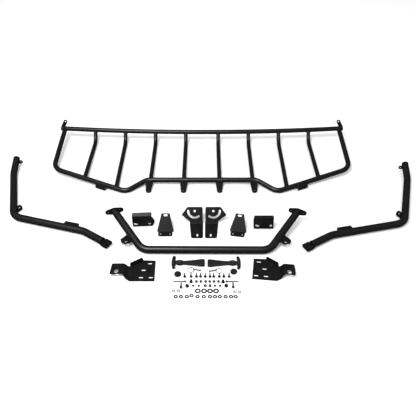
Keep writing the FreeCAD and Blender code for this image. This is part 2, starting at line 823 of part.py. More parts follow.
def angle_bracket(word, place, end, lip, bend, wing_turn, wing_corners):
    """An angle with a slot and a hole in its face, a sloping lip and a wing folded back at one end."""
    width = size("angle_width")
    face = size("angle_face")
    thick = size("sheet_thick")
    slope = math.radians(size("angle_slope"))
    top = face - thick / 2
    spine = [(0, 0), (0, top), (lip * math.cos(slope), top + lip * math.sin(slope))]
    angle = centred(strip("angle_strip_" + word, spine, cell("angle_width"), "sheet_thick", bend), width)
    back = lip * math.cos(slope)
    plan_outline = flat(
        [
            (-end * width / 2, -thick),
            (end * width / 2, -thick),
            (end * width / 2, back, 8),
            (-end * width / 2, back, 12),
        ]
    )
    plan = pad("angle_plan_" + word, plan_outline, "dims.angle_face * 2")
    through = pose(V(0, TALL, 0), V(1, 0, 0), V(0, -1, 0))
    front_outline = flat([(-width / 2, 0, 8), (width / 2, 0, 8), (width / 2, TALL), (-width / 2, TALL)])
    front = moved(pad("angle_front_" + word, front_outline, str(2 * TALL)), through)
    wing = pad("angle_wing_" + word, flat(wing_corners), cell("sheet_thick"))
    turn = polar(1, wing_turn)
    out = V(end * turn.x, turn.y, 0)
    normal = out.cross(V(0, 0, 1))
    root = V(end * (width / 2 - thick), 0, 0)
    wing.Placement = pose(root if end > 0 else root - normal * thick, out, normal)
    slot = pad("angle_slot_" + word, stadium((-45, 22), 30, size("angle_slot"), -16), str(2 * TALL))
    hole = cylinder("angle_hole_" + word, "dims.angle_hole / 2", str(2 * TALL))
    hole.Placement = through.multiply(FreeCAD.Placement(V(50, 22, 0), FreeCAD.Rotation()))
    body = fuse(common(common(angle, plan), front), wing)
    node("angle_bracket_" + word, cut(body, moved(slot, through), hole), place)


def frame_bracket(side, word, place, ear_end):
    """A four-slot plate, a flange folded up along its slanted back edge, and a raised ear."""
    thick = size("plate_thick")
    low = thick / 2
    rise = size("frame_ear_rise")
    spine = [(0, low), (178, low), (200, low + rise), (290, low + rise)]
    sheet_body = strip("frame_strip_" + word, spine, str(WIDE), "plate_thick", 10.0)
    along = V(side, 0, 0)
    sheet_body.Placement = pose(V(0, 90 + side * WIDE / 2, 0), along, V(0, -side, 0))
    plan = [
        (0, 0, 4),
        (4, 170, 4),
        (82, 174, 4),
        (170, 121, 3),
        (198, 125, 8),
        (ear_end - 6, 125, 8),
        (ear_end, 37, 8),
        (210, 41, 6),
        (184, 17, 8),
        (157, 0, 8),
    ]
    outline = flat([(side * p[0],) + tuple(p[1:]) for p in plan])
    prism = pad("frame_plan_" + word, outline, str(TALL))
    prism.Placement.Base = UNDER
    fold_start = V(side * 82, 174, 0)
    fold_way = (V(side * 170, 121, 0) - fold_start).normalize()
    fold = flat([(2, 0), (99, 0), (96, 36, 5), (8, 38, 9)])
    flange = pad("frame_flange_" + word, fold, cell("plate_thick"))
    outward = fold_way.cross(V(0, 0, 1))
    flange.Placement = pose(fold_start, fold_way, outward)
    flange.Placement.Base = fold_start - outward * (thick if outward.y > 0 else 0)
    slots = []
    for index, (x, y) in enumerate(((39, 146), (76, 89), (87, 28), (24, 28))):
        outline = stadium((side * x, y), size("frame_slot_length"), size("frame_slot_width"))
        slot = pad("frame_slot_%s_%d" % (word, index), outline, str(DEEP))
        slot.Placement.Base = UNDER
        slots.append(slot)
    ear_outline = stadium((side * (ear_end - 40), 62), 36, size("frame_ear_hole"), 90 + side * 24)
    ear_hole = pad("frame_ear_hole_" + word, ear_outline, str(TALL))
    ear_hole.Placement.Base = UNDER
    plate = fuse(common(sheet_body, prism), flange)
    node("frame_bracket_" + word, cut(plate, ear_hole, *slots), place)


# ---------------------------------------------------------------- latches and fasteners


def latch(side, word, place):
    """A rubber latch: a T bar, a neck with a bulb, and a strap that widens to a bevelled end."""
    length = size("latch_length")
    thick = size("latch_thick")
    points = [
        (2, -14),
        (64, -14, 30),
        (length - 16, -31, 4),
        (length, -28, 3),
        (length, 16, 3),
        (length - 12, 31, 3),
        (64, 14, 30),
        (2, 14),
    ]
    strap = pad("strap_" + word, flat(mirrored(points, side)), cell("latch_thick"))
    strap.Placement.Base = V(0, 0, 1)
    bulb = cylinder("bulb_" + word, "dims.latch_bulb / 2", "dims.latch_thick + 5")
    bulb.Placement.Base = V(-side * 42, 0, 0)
    half = size("latch_bar_length") / 2
    bow = 5.0
    ends = [V(-side * bow, -half, 0), V(side * 0, 0, 0), V(-side * bow, half, 0)]
    path = doc.addObject("Part::Feature", "latch_bar_path_" + word)
    arc = Part.Arc(ends[0], ends[1], ends[2]).toShape()
    path.Shape = Part.Wire([arc])
    heading = arc.tangentAt(arc.FirstParameter)
    bar = sweep("latch_bar_" + word, path, 1, ends[0], heading, cell("latch_bar"))
    bar.Placement.Base = V(0, 0, size("latch_bar") / 2)
    node("latch_" + word, fuse(strap, bulb, bar), place)


def ring(name, outer, inner, thick):
    """A flat round with a hole, a washer or a puck, from the cells of its two diameters."""
    disc = cylinder(name + "_disc", cell(outer) + " / 2", cell(thick))
    hole = cylinder(name + "_hole", cell(inner) + " / 2", cell(thick))
    return cut(disc, hole)


def copies(label, *sets):
    """One sub-part made of fasteners, from pairs of one fastener and its places in the layout."""
    doc.recompute()
    item = doc.addObject("Part::Feature", label)
    shapes = []
    for master, spots in sets:
        for spot in spots:
            shape = master.Shape.copy()
            shape.Placement = turned(*spot).multiply(shape.Placement)
            shapes.append(shape)
    item.Shape = Part.makeCompound(shapes)
    item.Label = label
    nodes.append(item)


def hexagon(name, flats, height):
    prism = doc.addObject("Part::Prism", name)
    prism.Polygon = 6
    bind(prism, Circumradius=flats + " / 2 / cos(30 deg)", Height=height)
    return prism


def hexagon_nut(stock):
    """A nut on its face, with a plain bore."""
    body = hexagon(stock + "_body", cell(stock + "_flats"), cell(stock + "_height"))
    bore = cylinder(stock + "_hole", cell(stock + "_bore") + " / 2", cell(stock + "_height"))
    return cut(body, bore)


def flange_bolt(name, length, stock="bolt"):
    """A bolt that stands on its head: a hexagon on a flange, then the shank upwards."""
    head = hexagon(name + "_head", cell(stock + "_flats"), cell("bolt_head"))
    flange = cylinder(name + "_flange", cell(stock + "_flange") + " / 2", cell("bolt_flange_thick"))
    flange.Placement.Base = V(0, 0, size("bolt_head") - size("bolt_flange_thick") / 2)
    shank = cylinder(name + "_shank", cell(stock + "_shank") + " / 2", cell(length))
    shank.Placement.Base = V(0, 0, size("bolt_head"))
    return fuse(head, flange, shank)


def lying_bolt(name, length, stock):
    """A flange bolt on its side, resting on its flange, with its shank along X."""
    bolt = flange_bolt(name, length, stock)
    high = size(stock + "_flange") / 2
    return moved(bolt, FreeCAD.Placement(V(0, 0, high), FreeCAD.Rotation(V(0, 1, 0), 90)))


def clevis_pin(word, place, turn):
    """A pin lying along X with a head at one end and a slanting hole for its pull ring at the other."""
    radius = "dims.pin_size / 2"
    lying = FreeCAD.Rotation(V(0, 1, 0), 90)
    height = size("pin_head") / 2
    shaft = cylinder("shaft_" + word, radius, cell("pin_length"))
    shaft.Placement = FreeCAD.Placement(V(0, 0, height), lying)
    head = cylinder("head_" + word, "dims.pin_head / 2", cell("pin_head_thick"))
    head.Placement = FreeCAD.Placement(V(size("pin_length"), 0, height), lying)
    cross = cylinder("cross_" + word, "dims.pin_cross_hole / 2", "2 * dims.pin_size")
    slant = FreeCAD.Rotation(V(0, 0, 1), turn)
    across = slant.multVec(V(0, size("pin_size"), 0))
    sideways = slant.multiply(FreeCAD.Rotation(V(1, 0, 0), 90))
    cross.Placement = FreeCAD.Placement(V(5, 0, height) + across, sideways)
    node("clevis_pin_" + word, cut(fuse(shaft, head), cross), place)
    loop = doc.addObject("Part::Torus", "loop_" + word)
    bind(loop, Radius1="(dims.ring_size - dims.ring_wire) / 2", Radius2="dims.ring_wire / 2")
    radius = (size("ring_size") - size("ring_wire")) / 2
    drop = height - size("ring_wire") / 2 - 0.15
    lean = math.degrees(math.asin(drop / (2 * radius)))
    tilt = slant.multiply(FreeCAD.Rotation(V(0, 1, 0), -lean))
    loop.Placement = FreeCAD.Placement(V(5, 0, height) - tilt.multVec(V(radius, 0, 0)), tilt)
    node("pull_ring_" + word, loop, place)


def small_hardware():
    """The rows of fasteners at the front of the layout."""
    puck = ring("puck", "puck_size", "puck_hole", "puck_thick")
    copies("rubber_pucks", (puck, [(-181, -701, 0), (178, -680, 0)]))

    bolt = flange_bolt("bolt", "bolt_length")
    row = (-136, -95, -61, -35, -5, 25, 49, 84, 113, 146)
    copies("flange_bolts", (bolt, [(x, -721, 0) for x in row]))

    rod = lying_bolt("rod", "rod_length", "rod")
    depth_bolt = lying_bolt("depth_bolt", "depth_bolt_length", "bolt")
    rods = (rod, [(-126, -762, 0, 180), (124, -762, 0, 0)])
    depth_bolts = (depth_bolt, [(-156, -816, 0, 90), (169, -814, 0, 90)])
    copies("long_bolts", rods, depth_bolts)

    cone = doc.addObject("Part::Cone", "cone")
    bind(cone, Radius1="dims.cone_foot / 2", Radius2="dims.cone_top / 2", Height="dims.cone_height")
    cone_bore = cylinder("cone_bore", "dims.cone_bore / 2", cell("cone_height"))
    copies("rubber_cones", (cut(cone, cone_bore), [(-94, -762, 0), (107, -764, 0)]))

    stub = flange_bolt("stub", "stub_length")
    copies("short_bolts", (stub, [(x, -762, 0) for x in (-61, -33, -3, 23, 50, 78)]))

    ball = doc.addObject("Part::Sphere", "ball")
    bind(ball, Radius="dims.cap_size / 2")
    ball.Placement.Base = V(0, 0, size("cap_size") / 2 - 3)
    below = box("below_ball", "dims.cap_size * 2", "dims.cap_size * 2", cell("cap_size"))
    below.Placement.Base = V(-size("cap_size"), -size("cap_size"), -size("cap_size"))
    copies("ball_caps", (cut(ball, below), [(-118, -799, 0), (126, -797, 0)]))

    nut = hexagon_nut("nut")
    large_nut = hexagon_nut("large_nut")
    small_nuts = (nut, [(x, -794, 0) for x in (-80, -45, 56, 88)])
    copies("lock_nuts", small_nuts, (large_nut, [(-5, -794, 0), (25, -794, 0)]))

    small = ring("washer", "washer_size", "washer_bore", "washer_thick")
    row = (-186, -154, -118, -52, -13, 24, 55, 85, 120, 153, 182)
    copies("small_washers", (small, [(x, -878, 0) for x in row] + [(-89, -870, 0)]))
    large = ring("large_washer", "large_washer_size", "large_washer_bore", "large_washer_thick")
    copies("large_washers", (large, [(x, -834, 0) for x in (-51, -12, 25, 62)]))
    pale = ring("pale_washer", "pale_washer_size", "pale_washer_bore", "washer_thick")
    copies("zinc_washers", (pale, [(-201, -833, 0), (-172, -833, 0), (178, -840, 0), (207, -842, 0)]))
    copies("nylon_washers", (pale, [(x, -834, 0) for x in (-132, -89, 104, 144)]))


# ---------------------------------------------------------------- the layout

guard()
side_arm(-1, "left", turned(-1371, -183, size("bar_tube") / 2, -15.6))
side_arm(1, "right", turned(1395, -248, size("bar_tube") / 2, 12.7))
centre_bar(turned(-2, -508, size("bar_tube") / 2, -0.3))
pivot_plate(-1, "left", turned(-66, -234, 0))
pivot_plate(1, "right", turned(38, -234, 0))
channel_bracket("left", turned(-282, -312, 0))
channel_bracket("right", turned(222, -315, 0, -10))
low_wing = [(0, 2), (13, 2, 4), (32, 26, 5), (12, 77, 3), (0, 77)]
tall_wing = [(0, 2), (30, 2, 8), (50, 40, 6), (28, 77, 6), (0, 77)]
angle_bracket("left", turned(-446, -256, 0, 3), 1, 34, 20, 54, low_wing)
leaning = FreeCAD.Placement(V(0, 0, 0), FreeCAD.Rotation(V(1, 0, 0), -14))
angle_bracket("right", turned(402, -287, 7).multiply(leaning), -1, 18, 8, 90, tall_wing)
frame_bracket(-1, "left", turned(-326, -757, 0), 286)
frame_bracket(1, "right", turned(292, -738, 0, -6), 273)
latch(-1, "left", turned(-213, -608, 0))
latch(1, "right", turned(214, -611, 0))
clevis_pin("left", turned(-83, -660, 0, -12), 24)
clevis_pin("right", turned(68, -667, 0, 193), -24)
small_hardware()
doc.recompute()

for item in doc.Objects:
    if "Invalid" in item.State or "Error" in item.State:
        raise RuntimeError("%s did not compute" % item.Name)
for item in nodes:
    if item.Shape.isNull() or not item.Shape.isValid():
        raise RuntimeError("%s has no valid shape" % item.Label)

os.makedirs("parts", exist_ok=True)
whole = FreeCAD.BoundBox()
for item in nodes:
    item.Shape.exportStep("parts/%s.step" % item.Label)
    whole.add(item.Shape.BoundBox)
    print("%-24s solids %d volume %.0f" % (item.Label, len(item.Shape.Solids), item.Shape.Volume))
print("%d nodes" % len(nodes))
print("x %.1f..%.1f  y %.1f..%.1f" % (whole.XMin, whole.XMax, whole.YMin, whole.YMax))
print("z %.1f..%.1f" % (whole.ZMin, whole.ZMax))
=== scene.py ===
"""Looks for the front grille guard kit: finishes, welds, detailed fasteners, lights and camera."""

import json
import math

import bmesh
import bpy
from mathutils import Matrix, Vector
from mathutils.bvhtree import BVHTree


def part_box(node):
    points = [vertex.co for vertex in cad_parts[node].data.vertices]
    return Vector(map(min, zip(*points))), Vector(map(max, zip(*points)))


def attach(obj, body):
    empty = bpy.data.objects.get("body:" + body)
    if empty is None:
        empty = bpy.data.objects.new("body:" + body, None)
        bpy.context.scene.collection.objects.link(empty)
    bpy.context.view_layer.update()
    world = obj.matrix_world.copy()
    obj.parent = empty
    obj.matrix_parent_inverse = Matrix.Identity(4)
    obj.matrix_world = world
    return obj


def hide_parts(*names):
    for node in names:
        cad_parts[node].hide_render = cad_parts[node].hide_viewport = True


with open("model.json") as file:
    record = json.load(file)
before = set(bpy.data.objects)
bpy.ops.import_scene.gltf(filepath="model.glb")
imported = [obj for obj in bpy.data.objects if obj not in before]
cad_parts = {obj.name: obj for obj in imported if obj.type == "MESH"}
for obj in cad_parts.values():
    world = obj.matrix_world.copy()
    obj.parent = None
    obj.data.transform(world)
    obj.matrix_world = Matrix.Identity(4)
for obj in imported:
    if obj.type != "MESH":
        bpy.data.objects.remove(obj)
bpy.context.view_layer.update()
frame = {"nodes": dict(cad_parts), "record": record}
nodes = frame["nodes"]

MM = 0.001
UP = Vector((0, 0, 1))
FULL_TURN = 2 * math.pi

# How far above the floor's height the lowest points of the new pieces stay, in metres.
FLOOR_GAP = 0.0002

# Split vertices of one CAD solid lie closer together than this, in metres.
SAME_POINT = 2e-6


# ---------------------------------------------------------------- camera, lights and floor

CAMERA_PLACE = (-0.0284, -2.8015, 2.476)
CAMERA_LENS = 43.7
CAMERA_SHIFT = 0.0048
CAMERA_TILT = 48.0

FLOOR_REACH = 30.0
FLOOR_DROP = 0.0004
FLOOR_WHITE = (0.93, 0.93, 0.93, 1)


def linked(name, data):
    """An object in the scene."""
    item = bpy.data.objects.new(name, data)
    bpy.context.scene.collection.objects.link(item)
    return item


def camera():
    """The photograph's view: 42 degrees down from 2.5 m up, in front of the rows of fasteners."""
    data = bpy.data.cameras.new("camera")
    data.sensor_width = 36.0
    data.lens = CAMERA_LENS
    data.shift_x = CAMERA_SHIFT
    data.clip_end = 60.0
    item = linked("camera", data)
    item.location = CAMERA_PLACE
    item.rotation_euler = (math.radians(CAMERA_TILT), 0.0, 0.0)
    bpy.context.scene.camera = item


def area_light(name, place, target, width, height, watts):
    """A rectangular softbox at a place, turned toward a target."""
    data = bpy.data.lights.new(name, "AREA")
    data.shape = "RECTANGLE"
    data.size = width
    data.size_y = height
    data.energy = watts
    item = linked(name, data)
    item.location = place
    item.rotation_euler = (Vector(target) - Vector(place)).to_track_quat("-Z", "Y").to_euler()


def surroundings():
    """A pale world that lights evenly, and that gloss sees as nearly dark."""
    world = bpy.data.worlds.new("studio")
    bpy.context.scene.world = world
    world.use_nodes = True
    tree = world.node_tree
    tree.nodes.clear()

    def background(level):
        """A background of an even grey."""
        item = tree.nodes.new("ShaderNodeBackground")
        item.inputs["Color"].default_value = (level, level, level, 1)
        return item.outputs[0]

    def either(condition, otherwise, then):
        """One background where the condition holds and another elsewhere."""
        item = tree.nodes.new("ShaderNodeMixShader")
        tree.links.new(condition, item.inputs["Fac"])
        tree.links.new(otherwise, item.inputs[1])
        tree.links.new(then, item.inputs[2])
        return item.outputs[0]

    path = tree.nodes.new("ShaderNodeLightPath")
    seen = background(0.89)
    lit = background(0.96)
    mirrored = background(0.05)
    gloss = either(path.outputs["Is Glossy Ray"], lit, mirrored)
    final = either(path.outputs["Is Camera Ray"], gloss, seen)
    output = tree.nodes.new("ShaderNodeOutputWorld")
    tree.links.new(final, output.inputs["Surface"])


def ground():
    mesh = bpy.data.meshes.new("floor")
    reach = FLOOR_REACH
    corners = [(-reach, -reach, 0), (reach, -reach, 0), (reach, reach, 0), (-reach, reach, 0)]
    mesh.from_pydata(corners, [], [(0, 1, 2, 3)])
    floor = linked("floor", mesh)
    floor.location = (0, 0, -FLOOR_DROP)
    floor.visible_glossy = False
    white = bpy.data.materials.new("floor_white")
    white.use_nodes = True
    shader = white.node_tree.nodes["Principled BSDF"]
    shader.inputs["Base Color"].default_value = FLOOR_WHITE
    shader.inputs["Roughness"].default_value = 0.9
    shader.inputs["Specular IOR Level"].default_value = 0.1
    mesh.materials.append(white)


def studio():
    """A white floor and even surroundings, under one soft light from high up on the left."""
    bpy.context.scene.view_settings.view_transform = "Standard"
    area_light("key", place=(-1.35, -1.7, 4.4), target=(0.0, 0.1, 0.0), width=1.5, height=1.0, watts=160.0)
    surroundings()
    ground()


# ---------------------------------------------------------------- materials


def painted(name, dark, light, rough, specular, grain, bump, metallic=0.0, patch=30.0):
    """A finish with a fine bump, mottled roughness and slight colour variation.

    rough is the lowest and highest roughness, grain the bump's scale per metre, bump its height in
    metres and patch the scale of the mottling.
    """
    material = bpy.data.materials.new(name)
    material.use_nodes = True
    tree = material.node_tree
    shader = tree.nodes["Principled BSDF"]
    shader.inputs["Metallic"].default_value = metallic
    shader.inputs["Specular IOR Level"].default_value = specular
    place = tree.nodes.new("ShaderNodeTexCoord")

    def noise(scale, detail=3.0, roughness=0.5):
        """A noise over the object's own coordinates."""
        item = tree.nodes.new("ShaderNodeTexNoise")
        item.inputs["Scale"].default_value = scale
        item.inputs["Detail"].default_value = detail
        item.inputs["Roughness"].default_value = roughness
        tree.links.new(place.outputs["Object"], item.inputs["Vector"])
        return item.outputs["Fac"]

    def ramp(source, low, high, first, second):
        """A value from first to second, as the source goes from low to high."""
        item = tree.nodes.new("ShaderNodeMapRange")
        item.inputs["From Min"].default_value = low
        item.inputs["From Max"].default_value = high
        item.inputs["To Min"].default_value = first
        item.inputs["To Max"].default_value = second
        tree.links.new(source, item.inputs["Value"])
        return item.outputs["Result"]

    mottle = noise(patch, 5.0, 0.6)
    mix = tree.nodes.new("ShaderNodeMix")
    mix.data_type = "RGBA"
    mix.inputs["A"].default_value = (*dark, 1)
    mix.inputs["B"].default_value = (*light, 1)
    tree.links.new(ramp(mottle, 0.35, 0.7, 0.0, 1.0), mix.inputs["Factor"])
    tree.links.new(mix.outputs["Result"], shader.inputs["Base Color"])
    blotch = noise(patch * 4.3, 3.0)
    tree.links.new(ramp(blotch, 0.3, 0.7, *rough), shader.inputs["Roughness"])
    relief = tree.nodes.new("ShaderNodeBump")
    relief.inputs["Strength"].default_value = 1.0
    relief.inputs["Distance"].default_value = bump
    tree.links.new(noise(grain, 2.0), relief.inputs["Height"])
    tree.links.new(relief.outputs["Normal"], shader.inputs["Normal"])
    return material


FINISHES = {}


def grey(level, blue=0.0):
    """A neutral colour, or one with a trace of blue."""
    return (level, level, level + blue)


def finishes():
    dark_coat = grey(0.0055, 0.0005)
    light_coat = grey(0.010, 0.0005)
    FINISHES["black_powder_coat"] = painted(
        "powder_coat", dark_coat, light_coat, (0.34, 0.44), specular=0.68, grain=620.0, bump=0.00014
    )
    FINISHES["black_weld"] = painted(
        "coated_weld", dark_coat, light_coat, (0.38, 0.52), specular=0.6, grain=900.0, bump=0.0002
    )
    FINISHES["black_plate"] = painted(
        "powder_coat_plate", dark_coat, grey(0.011, 0.0005), (0.31, 0.42),
        specular=0.20, grain=560.0, bump=0.00012, patch=22.0,
    )
    FINISHES["black_plastic"] = painted(
        "moulded_plastic", grey(0.012), grey(0.018), (0.42, 0.56),
        specular=0.4, grain=2400.0, bump=0.00005,
    )
    FINISHES["black_rubber"] = painted(
        "moulded_rubber", grey(0.008), grey(0.017), (0.55, 0.78),
        specular=0.3, grain=1500.0, bump=0.00012, patch=60.0,
    )
    FINISHES["black_fastener"] = painted(
        "black_oxide", grey(0.030, 0.002), grey(0.060, 0.004), (0.30, 0.48),
        specular=0.5, grain=3000.0, bump=0.00003, metallic=0.75, patch=140.0,
    )
    FINISHES["pale_nylon"] = painted(
        "natural_nylon", grey(0.80, -0.03), grey(0.88, -0.02), (0.38, 0.52),
        specular=0.4, grain=2000.0, bump=0.00002, patch=120.0,
    )
    platings = (
        ("zinc", "zinc_plate", grey(0.50, 0.01), grey(0.64), (0.34, 0.50), 0.55),
        ("dark_zinc", "dark_plate", grey(0.035, 0.002), grey(0.07, 0.003), (0.3, 0.46), 0.8),
        ("grey_zinc", "grey_zinc_plate", grey(0.16, 0.005), grey(0.26, 0.005), (0.3, 0.46), 0.6),
        ("ring_wire", "drawn_wire", grey(0.08, 0.003), grey(0.14, 0.004), (0.3, 0.44), 0.6),
    )
    for slot, name, dark, light, rough, metallic in platings:
        FINISHES[slot] = painted(
            name, dark, light, rough,
            specular=0.5, grain=2600.0, bump=0.00002, metallic=metallic, patch=180.0,
        )


def paint(item, slot):
    """Give every material slot of an object one finish."""
    data = item.data
    if not data.materials:
        data.materials.append(None)
    for index in range(len(data.materials)):
        data.materials[index] = FINISHES[slot]


# ---------------------------------------------------------------- mesh building


def shape(vertices, faces):
    """A bmesh from lists of points and faces."""
    result = bmesh.new()
    made = [result.verts.new(point) for point in vertices]
    for face in faces:
        try:
            result.faces.new([made[index] for index in face])
        except ValueError:
            # A face that repeats another one is left out.
            continue
    return result


def grid(rings, capped=False, loop=False):
    """Faces over closed rings of equal length, each a list of points. A loop's last ring meets its first."""
    count = len(rings[0])
    points = [point for ring_points in rings for point in ring_points]
    faces = []
    total = len(rings)
    for row in range(total if loop else total - 1):
        following = (row + 1) % total
        for column in range(count):
            beside = (column + 1) % count
            first = row * count
            second = following * count
            faces.append((first + column, first + beside, second + beside, second + column))
    if capped:
        faces.append(tuple(range(count))[::-1])
        faces.append(tuple((total - 1) * count + index for index in range(count)))
    return shape(points, faces)


def lathe(profile, segments=40, closed=False):
    """A turned shape about Z from (radius, height) pairs in millimetres. Closed for a ring's section."""
    rings = []
    for radius, height in profile:
        row = []
        for step in range(segments):
            angle = FULL_TURN * step / segments
            row.append(Vector((radius * math.cos(angle), radius * math.sin(angle), height)) * MM)
        rings.append(row)
    result = grid(rings, loop=closed)
    bmesh.ops.remove_doubles(result, verts=result.verts, dist=1e-7)
    return result


def joined(*parts):
    """One bmesh from several, each used up."""
    result = bmesh.new()
    for part in parts:
        scratch = bpy.data.meshes.new("scratch")
        part.to_mesh(scratch)
        part.free()
        result.from_mesh(scratch)
        bpy.data.meshes.remove(scratch)
    return result


def placed(part, matrix):
    """A copy of a bmesh, moved."""
    result = part.copy()
    result.transform(matrix)
    return result


def piece(name, part, body, slot, smooth_angle=35.0, node=None):
    """Make a mesh object of a bmesh, give it its finish, and ride it on a body."""
    bmesh.ops.recalc_face_normals(part, faces=part.faces)
    mesh = bpy.data.meshes.new(name)
    part.to_mesh(mesh)
    part.free()
    mesh.polygons.foreach_set("use_smooth", [True] * len(mesh.polygons))
    mesh.set_sharp_from_angle(angle=math.radians(smooth_angle))
    item = linked(name, mesh)
    paint(item, slot)
    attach(item, body)
    if node:
        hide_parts(node)


def merged(node):
    """A bmesh of a CAD node with its split vertices joined."""
    result = bmesh.new()
    result.from_mesh(nodes[node].data)
    bmesh.ops.remove_doubles(result, verts=result.verts, dist=SAME_POINT)
    return result


def solids(node):
    """The lowest and highest corners, and the points, of each separate solid in a CAD node."""
    source = merged(node)
    source.verts.ensure_lookup_table()
    seen = set()
    found = []
    for vertex in source.verts:
        if vertex.index in seen:
            continue
        seen.add(vertex.index)
        stack = [vertex]
        points = []
        while stack:
            current = stack.pop()
            points.append(current.co.copy())
            for edge in current.link_edges:
                other = edge.other_vert(current)
                if other.index not in seen:
                    seen.add(other.index)
                    stack.append(other)
        low = Vector([min(point[axis] for point in points) for axis in range(3)])
        high = Vector([max(point[axis] for point in points) for axis in range(3)])
        found.append((low, high, points))
    source.free()
    return found


# ---------------------------------------------------------------- weld beads

# A weld runs where sharp edges come within this reach of what they are welded to, in metres.
WELD_REACH = 0.0007
SHARP_EDGE = math.radians(20)
SHORTEST_WELD = 0.018
WELD_RADIUS = 0.0026
WIDE_WELD_RADIUS = 0.003
RIPPLE = 0.0034
BEAD_STEP = 0.0011
BEAD_SIDES = 8
STEEP = 0.9


def weld_paths(node, onto):
    """Runs of a node's sharp edges that lie on another node's surface, longest first."""
    tree_mesh = bmesh.new()
    tree_mesh.from_mesh(nodes[onto].data)
    tree = BVHTree.FromBMesh(tree_mesh)
    source = merged(node)
    near = {}
    for vertex in source.verts:
        hit = tree.find_nearest(vertex.co, WELD_REACH)
        near[vertex.index] = hit[0] is not None
    links = {}
    for edge in source.edges:
        first, second = edge.verts
        if not (near[first.index] and near[second.index]):
            continue
        if len(edge.link_faces) == 2 and edge.calc_face_angle(0.0) < SHARP_EDGE:
            continue
        links.setdefault(first.index, set()).add(second.index)
        links.setdefault(second.index, set()).add(first.index)
    source.verts.ensure_lookup_table()
    paths = []
    left = set(links)
    while left:
        ends = [index for index in left if len(links[index] & left) <= 1]
        start = min(ends) if ends else min(left)
        chain = [start]
        left.discard(start)
        while True:
            choices = sorted(index for index in links[chain[-1]] if index in left)
            if not choices:
                break
            chain.append(choices[0])
            left.discard(choices[0])
        closed = len(chain) > 2 and chain[0] in links[chain[-1]]
        points = [source.verts[index].co.copy() for index in chain]
        if closed:
            points.append(points[0].copy())
        length = sum((b - a).length for a, b in zip(points, points[1:]))
        paths.append((length, points, closed))
    source.free()
    tree_mesh.free()
    return sorted(paths, key=lambda item: -item[0])


def resampled(points, step):
    """Points at even steps along a polyline."""
    lengths = [0.0]
    for first, second in zip(points, points[1:]):
        lengths.append(lengths[-1] + (second - first).length)
    total = lengths[-1]
    count = max(3, int(round(total / step)))
    result = []
    index = 0
    for number in range(count + 1):
        want = total * number / count
        while index < len(points) - 2 and lengths[index + 1] < want:
            index += 1
        span = lengths[index + 1] - lengths[index]
        share = (want - lengths[index]) / span if span > 0 else 0.0
        result.append(points[index].lerp(points[index + 1], share))
    return result


def bead(points, closed, radius):
    """A rippled weld bead along a path, narrowing at its ends if it has any."""
    line = resampled(points, BEAD_STEP)
    if closed:
        line = line[:-1]
    count = len(line)
    rings = []
    travelled = 0.0
    for index, point in enumerate(line):
        ahead = line[(index + 1) % count] if closed else line[min(index + 1, count - 1)]
        behind = line[index - 1] if closed else line[max(index - 1, 0)]
        along = (ahead - behind).normalized()
        upright = abs(along.z) > STEEP
        across = along.orthogonal().normalized() if upright else along.cross(UP).normalized()
        other = along.cross(across)
        phase = (travelled % RIPPLE) / RIPPLE
        swell = radius * (0.86 + 0.22 * math.sqrt(max(0.0, 1 - (2 * phase - 1) ** 2)))
        if not closed:
            swell *= min(1.0, 0.35 + 0.65 * min(index, count - 1 - index) / 3)
        row = []
        for side in range(BEAD_SIDES):
            angle = FULL_TURN * side / BEAD_SIDES
            spot = point + (across * math.cos(angle) + other * math.sin(angle)) * swell
            spot.z = max(spot.z, FLOOR_GAP)
            row.append(spot)
        rings.append(row)
        travelled += BEAD_STEP
    return grid(rings, capped=not closed, loop=closed)


def welds(name, body, pairs, radius=WELD_RADIUS, keep=1):
    """One object of the longest beads between each node of a pair and what it is welded to."""
    parts = []
    for node, onto in pairs:
        for length, points, closed in weld_paths(node, onto)[:keep]:
            if length >= SHORTEST_WELD:
                parts.append(bead(points, closed, radius))
    if parts:
        piece(name, joined(*parts), body, "black_weld", 50.0)


# ---------------------------------------------------------------- fasteners


# Sizes over flats, flange and shank diameters and thread pitches of the two bolts, in millimetres.
SMALL_BOLT = {"flats": 10.0, "flange": 14.0, "shank": 6.0, "pitch": 1.0}
LARGE_BOLT = {"flats": 13.0, "flange": 18.0, "shank": 8.0, "pitch": 1.25}

# How tall every bolt's head is and how far its flange rises past that. A small bolt is plain but for
# its last stretch of thread, and a large one that lies down has a short plain neck.
BOLT_HEAD = 7.0
FLANGE_LIP = 1.0
SMALL_BOLT_THREAD = 26.0
LARGE_BOLT_NECK = 6.0


def hex_radius(flats, angle):
    """Distance from the middle of a hexagon to its edge."""
    sector = math.radians(60)
    return flats / 2 / math.cos((angle + sector / 2) % sector - sector / 2)


def hexagon_part(flats, top, chamfer_top, bore=0.0):
    """A hexagonal prism on the floor with turned chamfers, and a bore if it has one. Millimetres."""
    segments = 72
    circle = flats / 2 * 0.985
    slope = math.tan(math.radians(30))
    rows = []

    def row(maker):
        """One ring of points, from the radius and height that maker gives for each angle."""
        result = []
        for step in range(segments):
            angle = FULL_TURN * step / segments
            radius, height = maker(angle)
            result.append(Vector((radius * math.cos(angle), radius * math.sin(angle), height)) * MM)
        rows.append(result)

    hole = max(bore, 0.001)
    row(lambda angle: (hole, 0.0))
    row(lambda angle: (circle, 0.0))
    row(lambda angle: (hex_radius(flats, angle), (hex_radius(flats, angle) - circle) * slope))
    if chamfer_top:
        row(lambda angle: (hex_radius(flats, angle), top - (hex_radius(flats, angle) - circle) * slope))
        row(lambda angle: (circle, top))
    else:
        row(lambda angle: (hex_radius(flats, angle), top))
    row(lambda angle: (hole, top))
    result = grid(rows, loop=bore > 0)
    bmesh.ops.remove_doubles(result, verts=result.verts, dist=SAME_POINT)
    return result


